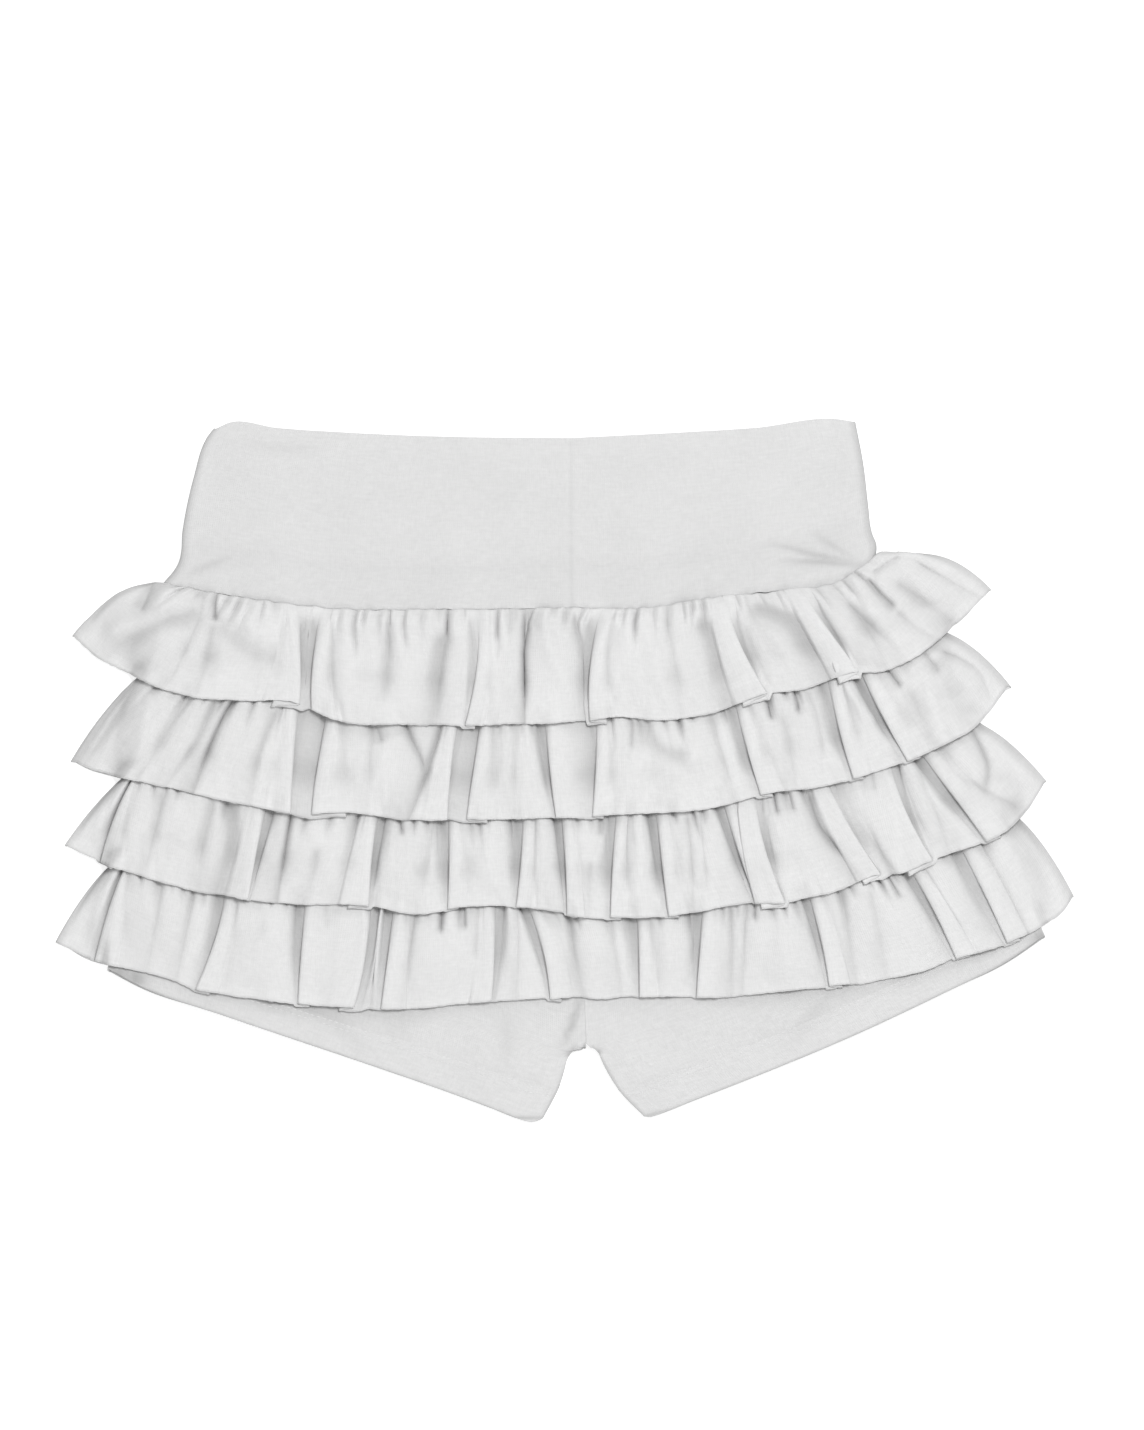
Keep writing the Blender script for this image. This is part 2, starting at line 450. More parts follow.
def nearLine(x, y, line):
    # for each point the distance to the line, the same with its sign, the way across and the share along it
    found = np.full((5, *x.shape), 1e9)
    for k, (a, b) in enumerate(zip(line, line[1:])):
        run = b - a
        size = np.hypot(*run)
        s = np.clip(((x - a[0]) * run[0] + (y - a[1]) * run[1]) / size**2, 0, 1)
        gap = np.hypot(x - a[0] - s * run[0], y - a[1] - s * run[1])
        across = ((a[0] - x) * run[1] + (y - a[1]) * run[0]) / size
        share = (k + s) / (len(line) - 1)
        this = np.array([gap, across, 0 * x - run[1] / size, 0 * x + run[0] / size, share])
        found = np.where(gap < found[0], this, found)
    return found


def panelColumns(start, stop):
    # between two pleats the cloth bulges, and on a pleat's lower side it dives, steepest at the fold
    width = stop[2] - start[2]
    pitch, wide, full = ruffle["wide"]
    count = int(width / pitch)
    shares = {k / count for k in range(1, count)}
    for away in pleat["beside"] if width > wide else ():
        shares |= {away / width, 1 - away / width}
    columns = []
    for f in sorted(shares):
        level, dark = 1.0 + ruffle["crown"] * 4 * f * (1 - f) * min(width / full, 1), 0.0
        for side, away in ((start, f * width), (stop, (1 - f) * width)):
            level *= 1 - (1 - min(side[3] / ruffle["panel"], 1.0)) * bell(away, pleat["dive"], 1.1)
            dark = max(dark, side[8] * bell(away, pleat["darkReach"], 1))
        between = start * (1 - f) + stop * f
        columns.append([between[0], 0.6, between[2], level * ruffle["panel"], 0, between[5], 0, 0, dark])
    return columns


def frontColumns(tier, left, right):
    # the columns as seam x, seam z, edge x, edge z, hang, bow, how much they belong to a pleat, its lift and
    # how much they lie in the dark under a fold
    pleats = rufflePleats[tier]
    blocks = [np.array([[left[0], 0.4, left[1], 0.3, 0, 0, 0, 0, 0]])]
    for seamX, edgeX, bow, lap, drop, *lift in pleats:
        near = [abs(seamX - q[0]) for q in pleats if q[0] != seamX] + [seamX - left[0], right[0] - seamX]
        lift = lift[0] if lift else pleat["lift"][tier]
        flatX, flatZ, foldX, foldZ = pleatSection(abs(lap), min(pleat["room"], 0.4 * min(near)), lift)
        side, same, hang = math.copysign(1, lap), np.ones(9), np.array(pleat["hang"])
        dark = np.array(pleat["inShade"]) * np.interp(lift, pleat["lifted"], (1, 0))
        block = np.stack([seamX + side * flatX, flatZ, edgeX + side * foldX, foldZ, drop * hang, bow * same,
                          pleat["belongs"], lift * same, dark], axis=1)
        blocks.append(block if lap > 0 else block[::-1])
    blocks.append(np.array([[right[0], 0.4, right[1], 0.3, 0, 0, 0, 0, 0]]))
    columns = [blocks[0]]
    for before, after in zip(blocks, blocks[1:]):
        columns += [np.reshape(panelColumns(before[-1], after[0]), (-1, 9)), after]
    k = np.concatenate(columns)
    run = np.r_[0, np.cumsum(np.hypot(np.diff(k[:, 2]), np.diff(k[:, 3])) + 0.25 * np.abs(np.diff(k[:, 0])))]
    cloth = np.linspace(0, run[-1], int(run[-1] / ruffle["step"]))
    rounded = [curveThrough(cloth, run, k[:, i]) for i in range(4)]
    return np.array(rounded + [np.interp(cloth, run, k[:, i]) for i in range(4, 9)]), cloth


def frontFolds(tier, x, y):
    # height of the ridges, share that the troughs leave, how far they draw the cloth and how lit it stays
    high, keep, drawn, lit = np.zeros_like(x), np.ones_like(x), np.zeros((2, *x.shape)), np.ones_like(x)
    for path, rise, width, *lean in ruffleFolds[tier]:
        lean = lean[0] if lean else 0
        gap, across, wayX, wayY, share = nearLine(x, y, rounded(path))
        lowest = rowShares[np.argmin(np.hypot(x - path[-1][0], y - path[-1][1]).min(axis=1))]
        ends = smooth(0.3 + share / 0.2)
        if lowest < 0.88:  # else it runs out over the free edge
            ends = ends * smooth(0.2 + (1 - share) / 0.25)
        w = width * np.where(across < 0, 1 - lean, 1 + lean) * (0.7 + 0.3 * smooth(t / 0.4))
        if rise > 0:
            high += ruffle["ridge"] * rise * ends * bell(gap, w)
            continue
        # a trough is two rolls of cloth that meet, so its bottom is sharp and draws the cloth in
        sharp = np.interp(width, *trough["sharp"])
        keep *= 1 - min(-rise * trough["takes"], 0.97) * ends * bell(gap, w, sharp)
        draw = np.interp(-rise, *trough["draw"]) * np.interp(width, *trough["drawWide"])
        drawn -= draw * ends * across * bell(gap, trough["drawReach"] * w) * np.array([wayX, wayY])
        # the cloth on its left runs in under the panel on its right, so its shade fades to the left
        leftward, rightward = np.interp(width, *trough["shadeLeft"]), np.interp(width, *trough["shadeRight"])
        fading = trough["shade"][0] + trough["shade"][1] * smooth((t - 0.45) / 0.45)
        fading = fading * bell(gap, width * np.where(across < 0, leftward, rightward), 1.4)
        line = np.interp(width, *trough["line"]) + (0.2 if rise <= -3 else 0.0)
        line = line * bell(gap, trough["lineWidth"])
        paler = 1 - np.interp(-rise, *trough["paler"]) * share
        lit *= 1 - min(-rise / 3, 1.0) * ends * paler * np.maximum(line, fading)
    return high, keep, drawn, lit


def frontGathers(tier, seamX, core, span):
    # small gathers drawn in by the seam, fading out down the cloth: their height and the share they leave
    rng = np.random.default_rng(20 + tier)
    high, keep = np.zeros((len(t), len(seamX))), np.ones((len(t), len(seamX)))
    place = span[0]
    while place < span[1]:
        reach, depth, width, shift = [rng.uniform(*gather[k]) for k in ("reach", "depth", "width", "shift")]
        depth = depth**0.7
        drawn = depth * smooth(1 - t / reach) ** 0.7 * (0.75 + 0.25 * smooth(t / 0.05))
        keep *= 1 - drawn * bell(np.abs(seamX - place - shift * t), width * (1 + 1.6 * t), 1.2) * (1 - core)
        high += gather["beside"] * drawn * bell(seamX - place - 2.2 * width, 1.2 * width)
        under = bell(t - 0.06, 0.045)
        high += gather["pucker"] * depth * bell(seamX - place - 2.6 * width, 1.1 * width) * under
        place += rng.uniform(*gather["pitch"])
    return high, keep


def ruffleFront(tier):
    # gives the sheet's points, the columns' places along the cloth and the shade
    spec, pleats = ruffleLines[tier], rufflePleats[tier]
    left, right = [(spec["seam"][k][0], spec["edge"][k][0]) for k in (0, -1)]
    (seamX, seamZ, edgeX, edgeZ, hang, bow, core, lift, dark), cloth = frontColumns(tier, left, right)
    straight = np.interp(seamX, [left[0], *[p[0] for p in pleats], right[0]],
                         [left[1], *[p[1] for p in pleats], right[1]])
    opened = smooth((t - 0.02) / ruffle["open"][tier])
    raised = smooth((t - 0.01) / ruffle["riseBy"][tier])
    freeX = straight * (1 - opened) + edgeX * opened
    x = seamX * (1 - t) + freeX * t + bow * 4 * t * (1 - t)
    seamY = curveThrough(seamX, *zip(*spec["seam"]))
    if tier == 1:
        seamY = seamY + 0.2 + 0.3 * unevenness(seamX, 0, 6, 11, 1)  # close up to the uneven foot of the band
    edgeY = curveThrough(freeX, *zip(*spec["edge"])) - hang * opened
    for high, seed, length in ruffle["edgeWaves"]:
        edgeY = edgeY + high * unevenness(cloth, 0, seed + tier, length, 1)
    y = seamY * (1 - t) + edgeY * t
    for bulge, end in zip(spec["bulge"], (left[0], right[0])):
        y = y + bulge * 4 * t * (1 - t) * smooth(1 - np.abs(seamX - end) / 32)
    z = (seamZ + ruffle["root"][tier]) * (1 - raised) + (edgeZ - lift) * raised
    lift = lift * raised

    ridges, keep, drawn, lit = frontFolds(tier, x, y)
    gathers, kept = frontGathers(tier, seamX, core, (left[0] + 3, right[0] - 3))
    soft = ridges + gathers + ruffle["belly"] * smooth((t - 0.01) / 0.08) * smooth((0.45 - t) / 0.4)
    soft += 0.5 * unevenness(cloth, 60 * t, 60 + tier, 38, 70) * smooth(t / 0.3)
    soft += 0.14 * unevenness(cloth, 60 * t, 70 + tier, 11, 30)
    soft += ruffle["edgeCurl"] * smooth((t - 0.86) / 0.14) * (0.2 + unevenness(cloth, 0, 80 + tier, 34, 1))
    held = 1 - (1 - core) ** 2  # the cloth over a pleat keeps its height and clears the folds under it
    onPanel, onPleat = ruffle["settle"]
    settle = onPanel * (1 - held) + onPleat * held * np.interp(lift, pleat["lifted"], (1.0, 0.3))
    late = ruffle["settleFrom"][tier]
    fallen = smooth((t - late) / (1 - late))
    z = z * (1 - settle * fallen) + lift * (1 - onPanel * fallen) + soft * (1 - 0.85 * core)
    z = np.where(z < 0.5, 0.5 * np.exp((z - 0.5) / 0.8), z)  # troughs touch the layer below, never pass it
    z = z * (keep * kept * (1 - held) + held)
    z = z * (0.35 + 0.65 * smooth(np.minimum(cloth, cloth[-1] - cloth) / 5))
    x, y = x + drawn[0] * (1 - core), y + drawn[1] * (1 - core)
    shade = joined((1 - lit) * (1 - core**2), pleat["dark"] * dark * raised)
    return np.stack([x, y, z], axis=-1), cloth, shade


# The backs, lengths as shares of their width; for each tier how many folds, a seed and how far in mm the
# outline stays inside that of the front.
backFold = {
    "of": {1: (17, 3, 0.6), 2: (18, 8, -1.4), 3: (19, 5, 0.5), 4: (20, 11, 0.6)},
    "columns": 230,
    "spacing": (0.65, 1.35),
    "sideSpace": 1.2,
    "tall": (0.65, 1.0),
    "rise": 2.2,
    "lean": 0.012,
    "wander": 0.006,
    "width": 0.0075,
    "gathers": 66,
    "gatherPitch": (0.008, 0.022),
    "gatherWidth": 0.004,
}


def ruffleBack(tier):
    # flat on the table between narrow folds that stand up inside
    spec = ruffleLines[tier]
    count, seed, draw = backFold["of"][tier]
    rng = np.random.default_rng(seed)
    gap = rng.uniform(*backFold["spacing"], count + 1)
    gap[[0, -1]] = backFold["sideSpace"]
    place = np.cumsum(gap)[:-1] / gap.sum()
    tall = rng.uniform(*backFold["tall"], count) * backFold["rise"]
    lean = rng.uniform(-backFold["lean"], backFold["lean"], count)
    seam, edge = np.array(spec["seam"], float), np.array(spec["edge"], float)
    u = np.linspace(0, 1, backFold["columns"])
    seamX = seam[0, 0] + (seam[-1, 0] - seam[0, 0]) * (u - 0.5 * np.sin(2 * np.pi * u) / (2 * np.pi))
    edgeX = edge[0, 0] + draw + (edge[-1, 0] - edge[0, 0] - 2 * draw) * u
    shift = curveThrough(u, np.r_[0, place, 1], np.r_[0, lean, 0]) * 500
    x = seamX * (1 - t) + edgeX * t + shift * smooth(t)
    edgeY = curveThrough(edgeX, *edge.T) + draw + 0.4 * unevenness(edgeX, 0, 90 + tier, 50, 1)
    y = curveThrough(seamX, *seam.T) * (1 - t) + edgeY * t
    for bulge, end in zip(spec["bulge"], (0.0, 1.0)):
        y = y + (bulge - 0.5) * 4 * t * (1 - t) * smooth(1 - np.abs(u - end) / 0.12)
    z = np.zeros_like(x)
    for p, rise in zip(place, tall):
        wander = backFold["wander"] * np.sin(5 * t + 40 * p)
        z += rise * (0.25 + 0.75 * smooth(t / 0.4)) * bell(u - p - wander, backFold["width"])
    z += 0.5 * np.clip(unevenness(x, y, 100 + tier, 30, 70), 0, 2) * smooth(t / 0.2)
    rng = np.random.default_rng(120 + tier)
    for p in np.cumsum(rng.uniform(*backFold["gatherPitch"], backFold["gathers"])):
        high = rng.uniform(0.2, 0.8) * smooth(1 - t / rng.uniform(0.15, 0.4))
        z += high * bell(u - p, backFold["gatherWidth"])
    return np.stack([x, y, np.maximum(z - 0.1, 0)], axis=-1)


# The band and the legs lie between four borders of x, y points; creases are points, height and half width.
waist = {
    "wall": 1.4,  # the band is cut double and folded over at the top
    "rows": ((0, 0.06, 7), (0.08, 0.5, 14), (0.52, 0.85, 28), (0.86, 1, 18)),
    "columns": 100,
    "left": {
        "side": [(-184.8, 181.2), (-188, 177), (-195.4, 155.2), (-201.2, 127.7), (-203.4, 109.1),
                 (-210.3, 99.1)],
        "top": [(-184.8, 181.2), (-177.9, 184.4), (-152.5, 181.7), (-113.8, 179.1), (-62.4, 177),
                (3.4, 176.3)],
        "foot": [(-210.3, 99.1), (-185.9, 94.6), (-161.5, 90.6), (-121.7, 86.1), (-62.4, 85.5), (3.7, 86.3)],
    },
    "right": {
        "side": [(152.8, 184.9), (157, 162.7), (159.7, 139.9), (161.6, 125), (163.4, 119.5), (163, 115.5),
                 (159.7, 109.1)],
        "top": [(152.8, 184.9), (147, 186), (100.9, 181.7), (60.6, 179.2), (3.4, 176.3)],
        "foot": [(159.7, 109.1), (145.4, 100.6), (111.5, 95.3), (68.5, 90.3), (46.8, 86.7), (3.7, 86.3)],
    },
    "inner": [(3.4, 176.3), (3.7, 86.3)],
    "creases": [
        ([(158, 108.5), (136, 110.5), (114, 111)], -0.6, 2.4),
        ([(158, 109), (132, 114.5), (107, 121)], -0.55, 2.4),
        ([(157, 110), (142, 119), (128, 128)], -0.4, 2.4),
        ([(155, 107), (135, 104.5), (118, 103)], 0.7, 3.0),
        ([(-202, 103), (-188, 109), (-175, 113.5)], -0.38, 2.6),
        ([(-200, 100), (-180, 104), (-160, 105)], 0.45, 3.5),
        ([(-180, 176), (-150, 171), (-120, 171)], -0.25, 5.0),
    ],
    "footFrom": 0.86,  # below this share of the depth its foot is a little uneven
    "seam": {"x": 3.55, "groove": (0.45, 0.9), "ridge": (0.2, 2.6), "shade": 0.09},
    "deep": 0.4,  # how much of the shade between high layers reaches it
    "backIn": 0.8,  # how far the back's side stays inside the front's
    "reachBack": 4.5,
    "reachFront": 9.0,
    "cut": (0.75, 0.092),
}
legs = {
    "wall": 0.9,
    "rows": ((0, 0.55, 14), (0.575, 0.835, 18), (0.842, 1, 50)),
    "columns": ((0, 0.984, 80), (0.991, 0.9965, 2), (0.999, 1, 2)),
    "centreSeam": [(3.7, 88.5), (7.4, -30), (10.4, -120), (11.2, -141), (11.3, -145), (11.3, -146.4)],
    "apart": {"left": 0.0, "right": 0.02},  # of the two legs at the centre seam
    "left": {
        "side": [(-210.3, 100.1), (-241, -105)],
        "notch": [(9.8, -146.7), (6.5, -147.4), (3.4, -149.4), (1.6, -152.2), (0, -158), (-3, -167.5),
                  (-11.5, -184)],
        "top": [(-210.3, 100.1), (-185.9, 96.9), (-121.7, 88.5), (-62.4, 87.9), (3.7, 88.5)],
        "foot": [(-241, -105), (-224.3, -114), (-178.5, -130.2), (-111.1, -153), (-60.3, -170.7),
                 (-38, -179), (-24, -184.4), (-17, -186), (-11.5, -184)],
    },
    "right": {
        "side": [(160.7, 111.8), (253.5, -87.5)],
        "notch": [(12.8, -146.5), (15.6, -147.1), (17.9, -149.4), (19.5, -153.2), (29.6, -170.2),
                  (42, -182.9)],
        "top": [(160.7, 111.8), (145.4, 103.3), (111.5, 98), (46.8, 89), (3.72, 88.5)],
        "foot": [(253.5, -87.5), (233.9, -101), (200.5, -117.7), (149.6, -141.6), (98.7, -162.8),
                 (66, -175.6), (50, -181.9), (45.5, -183.3), (42, -182.9)],
    },
    "creases": [
        ([(10.6, -60), (11, -115), (11.3, -152)], 0.3, 1.6),
        ([(8.6, -120), (4.5, -132), (-1.5, -147)], -0.8, 3.0),
        ([(-60, -122), (-75, -140), (-90, -155)], 0.35, 8.0),
        ([(-150, -118), (-120, -135), (-95, -158)], -0.3, 7.0),
        ([(60, -120), (75, -142), (82, -165)], 0.35, 8.0),
        ([(150, -112), (130, -130), (112, -152)], -0.3, 7.0),
        ([(-35, -122), (-30, -140), (-32, -160)], -0.3, 6.0),
    ],
    # where the inside of a leg shows at the end of its hem: x, y, how far the shade reaches
    "openings": [(-236, -107, 6.5), (-227, -110, 6.0), (252, -88, 4.5), (2.5, -150, 1.6), (11.6, -147, 1.4),
                 (17.6, -149, 1.8)],
    "openShade": 0.85,
    "rim": (0.55, 1.0),  # shade along the rolled rims of the hem and the notch, and how far it reaches
    "notchTop": -145.5,
    "backIn": 0.8,
    "backShows": (1.6, 60.0, 0.85),  # by how much its foot shows, how far from the side and from which row
    "hem": {"share": 0.070, "high": 0.55, "groove": (0.35, 0.0035)},  # the share of the length turned up
    "reach": 16.5,
    "cut": (0.50, 0.27),
    "cutArea": {"left": 0.115, "right": 0.104},  # in square metres
    # the hem is sewn with two rows of stitches, mm, the rows at shares of the leg's length
    "stitch": {"pitch": 3.3, "length": 2.5, "width": 0.42, "rows": (0.9335, 0.9445)},
}
halves, places = ("left", "right"), ("back", "front")
for half in halves:
    waist[half]["inner"] = waist["inner"]
    seam = [(x + legs["apart"][half], y) for x, y in legs["centreSeam"]]
    legs[half]["inner"] = seam + legs[half]["notch"]


def spaced(stretches):
    # shares from 0 to 1, from stretches that each give the first, the last and how many
    return np.concatenate([np.linspace(*s) for s in stretches])


def patch(borders, rowsAt, colsAt, drawn=0.0):
    # a sheet between its borders; drawn takes its side and top in by this much
    side, inner = along(borders["side"], rowsAt), along(borders["inner"], rowsAt)
    top, foot = along(borders["top"], colsAt), along(borders["foot"], colsAt)
    if np.hypot(*(top[0] - inner[0])) < np.hypot(*(top[0] - side[0])):
        top, foot = top[::-1], foot[::-1]
    r, c = rowsAt[:, None, None], colsAt[None, :, None]
    corners = (1 - r) * ((1 - c) * side[0] + c * inner[0]) + r * ((1 - c) * side[-1] + c * inner[-1])
    flat = (1 - c) * side[:, None] + c * inner[:, None] + (1 - r) * top[None] + r * foot[None] - corners
    if drawn:
        flat[..., 0] -= np.sign(side[0, 0] - inner[0, 0]) * drawn * (1 - colsAt)
        flat[0, :, 1] -= drawn
    grid = np.dstack([flat, np.zeros(flat.shape[:2])])
    return grid[:, ::-1] if side[0, 0] > inner[0, 0] else grid


def crease(grid, path, rise, width):
    # a soft trough or ridge along a line, strongest in its middle; gives the shade in a trough
    found = nearLine(grid[..., 0], grid[..., 1], np.array(path, float))
    gap, share = found[0], found[-1]
    strong = rise * (0.35 + 0.65 * np.sin(math.pi * share))
    grid[..., 2] += strong * bell(gap, width)
    return np.clip(-strong - 0.14, 0, 0.8) * bell(gap, 0.7 * width)


def foldRound(a, b, towards, count=5):
    # columns that carry the cloth round a side, from column a over to column b
    middle, arm = (a + b) / 2, (a - b) / 2
    radius = np.linalg.norm(arm, axis=-1, keepdims=True)
    out = np.array([towards, 0, 0])
    bulge = np.minimum(radius, 0.35 + 0.4 * radius)  # pressed flat
    turn = [math.pi * (k + 1) / (count + 1) for k in range(count)]
    return np.stack([middle + arm * math.cos(q) + out * bulge * math.sin(q) for q in turn], axis=1)


def tube(front, back):
    # front and back halves joined round both sides into one tube
    right = foldRound(front[:, -1], back[:, -1], 1)
    left = foldRound(back[:, 0], front[:, 0], -1)
    return np.concatenate([front, right, back[:, ::-1], left, front[:, :1]], axis=1)


def lengthAlong(grid):
    # each column's place along the cloth, in its middle row
    mid = grid[grid.shape[0] // 2]
    return np.r_[0, np.cumsum(np.linalg.norm(np.diff(mid, axis=0), axis=-1))]


# all of it is laid down from the table up: the backs, the legs, the fronts
waistRows, waistCols = spaced(waist["rows"]), np.linspace(0, 1, waist["columns"])
waistBack = [patch(waist[half], waistRows, waistCols, waist["backIn"]) for half in halves]
waistBack = np.concatenate([waistBack[0], waistBack[1][:, 1:]], axis=1)
waistBack[..., 2] += 0.25 * np.clip(unevenness(waistBack[..., 0], waistBack[..., 1], 5, 90, 60), 0, 2)
waistBack = layDown(waistBack, waist["wall"], waist["reachBack"])
countAsLaid(waistBack, waist["wall"])

ruffleBacks = {}
for tier in (1, 2, 3, 4):
    ruffleBacks[tier] = layDown(ruffleBack(tier), ruffle["wall"], ruffle["reachBack"])
    countAsLaid(ruffleBacks[tier], ruffle["wall"])
print("backs laid")


def legSheet(place, half):
    # a front or a back of a leg and its shade
    spec, isFront = legs[half], place == "front"
    grid = patch(spec, legRows, legCols, 0.0 if isFront else legs["backIn"])
    if not isFront:
        shows, near, fromRow = legs["backShows"]
        fromSide = np.abs(grid[..., 0] - spec["foot"][0][0])
        grid[..., 1] -= shows * smooth(1 - fromSide / near) * (down > fromRow)
    x, y = grid[..., 0], grid[..., 1]
    shade = np.zeros(x.shape)
    for path, rise, width in legs["creases"]:
        shade = np.maximum(shade, crease(grid, path, rise if isFront else 0.5 * abs(rise), width))
    for openX, openY, radius in legs["openings"]:
        shade = np.maximum(shade, legs["openShade"] * bell(np.hypot(x - openX, y - openY), radius))
    dark, reach = legs["rim"]
    for border, shown in (("inner", y < legs["notchTop"]), ("foot", 1)):
        shade = np.maximum(shade, dark * bell(nearLine(x, y, rounded(spec[border]))[0], reach) * shown)
    hemTop = 1 - legs["hem"]["share"]
    groove, width = legs["hem"]["groove"]
    grid[..., 2] += legs["hem"]["high"] * smooth((down - hemTop + 0.006) / 0.008)
    grid[..., 2] += 0.22 * unevenness(x, y, 7, 60, 45) - groove * bell(down - hemTop, width)
    grid[..., 2] -= 0.0 if isFront else grid[..., 2].min()
    return grid, shade


legRows, legCols = spaced(legs["rows"]), spaced(legs["columns"])
down = legRows[:, None]
legGrids, legShades = {}, {}
for place in places:
    for half in halves:
        grid, legShades[place, half] = legSheet(place, half)
        legGrids[place, half] = layDown(grid, legs["wall"], legs["reach"])
    for half in halves:
        countAsLaid(legGrids[place, half], legs["wall"])
print("legs laid")

waistFront = [patch(waist[half], waistRows, waistCols) for half in halves]
waistFront = np.concatenate([waistFront[0], waistFront[1][:, 1:]], axis=1)
waistShade = np.zeros(waistFront.shape[:2])
for path, rise, width in waist["creases"]:
    waistShade = np.maximum(waistShade, crease(waistFront, path, rise, width))
wx, wy = waistFront[..., 0], waistFront[..., 1]
low = smooth((waistRows[:, None] - waist["footFrom"]) / (1 - waist["footFrom"]))
waistFront[..., 2] += 0.3 * unevenness(wx, wy, 3, 110, 70) + 0.25 * low * unevenness(wx, 0 * wy, 4, 12, 1)
waistFront[..., 1] += 0.3 * low * unevenness(wx, 0 * wy, 6, 11, 1)
seam = waist["seam"]
groove = bell(wx - seam["x"], seam["groove"][1])
waistFront[..., 2] += seam["ridge"][0] * bell(wx - seam["x"], seam["ridge"][1]) - seam["groove"][0] * groove
waistShade = np.maximum(waistShade, seam["shade"] * groove)
waistFront = layDown(waistFront, waist["wall"], waist["reachFront"])
print("waistband laid, top at", round(float(waistFront[..., 2].max()), 1), "mm")

ruffleFronts, ruffleShades = {}, {}
for tier in (4, 3, 2, 1):
    grid, cloth, ruffleShades[tier] = ruffleFront(tier)
    snug = 1 - smooth(np.minimum(cloth, cloth[-1] - cloth) / 16)
    snug = np.maximum(snug, ruffle["edgeSnug"] * smooth((t - 0.78) / 0.2))
    grid = layDown(grid, ruffle["wall"], ruffle["reachFront"], snug)
    countAsLaid(grid, ruffle["wall"])
    ruffleFronts[tier] = grid
    print("ruffle", tier, "laid, top at", round(float(grid[..., 2].max()), 1), "mm")
countAsLaid(waistFront, waist["wall"])


# the cloth of each part: greys, and pitches in mm or scales of what its yarn shows
knit = {"light": 0.702, "dark": 0.638, "roughness": 0.92, "sheen": 0.12, "wale": 1.1, "course": 0.9,
        "slub": 420.0, "yarn": 750.0, "cloud": 38.0, "bump": 0.35, "foldShade": 0.45}
looks = {
    "ruffleJersey": knit,
    "waistJersey": knit | {"light": 0.655, "dark": 0.594, "slub": 380.0, "yarn": 700.0, "cloud": 30.0,
                           "bump": 0.4},
    "legJersey": knit | {"light": 0.665, "dark": 0.59, "slub": 400.0, "cloud": 34.0},
    "hemThread": {"light": 0.72, "dark": 0.67, "roughness": 0.7, "sheen": 0.05, "wale": 0.5, "course": 0.5,
                  "slub": 900.0, "yarn": 1500.0, "cloud": 90.0, "bump": 0.2, "foldShade": 0.0},
}


def give(node, values):
    for socket, value in values.items():
        node.inputs[socket].default_value = value


def jersey(name, look):
    # matt knitted cotton: fine ribs and courses, a little slub and mottling
    mat = bpy.data.materials.new(name)
    mat.use_nodes = True
    nodes, links = mat.node_tree.nodes, mat.node_tree.links
    source = nodes.new("ShaderNodeTexCoord")

    def pattern(kind, across, placed, values):
        # a texture across the piece's own map or its place, turned or stretched
        mapping, texture = nodes.new("ShaderNodeMapping"), nodes.new("ShaderNodeTex" + kind)
        give(mapping, placed)
        give(texture, values)
        links.new(source.outputs[across], mapping.inputs["Vector"])
        links.new(mapping.outputs["Vector"], texture.inputs["Vector"])
        return texture.outputs["Fac"]

    def ribs(turn, pitch, wavy):
        return pattern("Wave", "UV", {"Rotation": (0, 0, turn)}, {
            "Scale": 1 / (pitch * mm) / math.pi, "Distortion": wavy, "Detail": 1.0, "Detail Scale": 0.6})

    def noise(scale, detail, across="UV", stretch=(1, 1, 1)):
        return pattern("Noise", across, {"Scale": stretch}, {"Scale": scale, "Detail": detail})

    def reckon(kind, a, b):
        # each of the two is a number or another node's socket
        node = nodes.new("ShaderNodeMath")
        node.operation = kind
        for socket, value in zip(node.inputs, (a, b)):
            if isinstance(value, float):
                socket.default_value = value
            else:
                links.new(value, socket)
        return node.outputs[0]

    def weighed(a, shareA, b, shareB):
        return reckon("ADD", reckon("MULTIPLY", a, shareA), reckon("MULTIPLY", b, shareB))

    shader = nodes["Principled BSDF"]
    give(shader, {"Roughness": look["roughness"], "Sheen Weight": look["sheen"], "Sheen Roughness": 0.6,
                  "Specular IOR Level": 0.25})
    wale, course = ribs(0.0, look["wale"], 0.6), ribs(math.pi / 2, look["course"], 0.8)
    relief = weighed(weighed(wale, 0.5, course, 0.35), 1.0, noise(look["slub"], 3.0), 1.3)
    bump = nodes.new("ShaderNodeBump")
    give(bump, {"Strength": look["bump"], "Distance": 0.0003})
    links.new(relief, bump.inputs["Height"])
    links.new(bump.outputs["Normal"], shader.inputs["Normal"])

    # uneven yarn shows as short streaks both ways
    lengthways, crossways = [noise(look["yarn"], 2.0, "UV", s) for s in ((1, 0.3, 1), (0.22, 1, 1))]
    streaks = reckon("ADD", lengthways, crossways)
    mottling = weighed(noise(look["cloud"], 4.0, "Object"), 0.4, streaks, 0.55)
    ramp = nodes.new("ShaderNodeValToRGB")
    for stop, place, grey in zip(ramp.color_ramp.elements, (0.28, 0.72), (look["dark"], look["light"])):
        stop.position, stop.color = place, (grey, grey, grey, 1.0)
    links.new(reckon("SUBTRACT", mottling, 0.25), ramp.inputs["Fac"])
    # deep in a fold the cloth looks a little darker
    fold = nodes.new("ShaderNodeAttribute")
    fold.attribute_name = "fold"
    tint = nodes.new("ShaderNodeVectorMath")
    tint.operation = "SCALE"
    links.new(ramp.outputs["Color"], tint.inputs[0])
    shown = reckon("SUBTRACT", 1.0, reckon("MULTIPLY", fold.outputs["Fac"], look["foldShade"]))
    links.new(shown, tint.inputs["Scale"])
    links.new(tint.outputs[0], shader.inputs["Base Color"])
    return mat


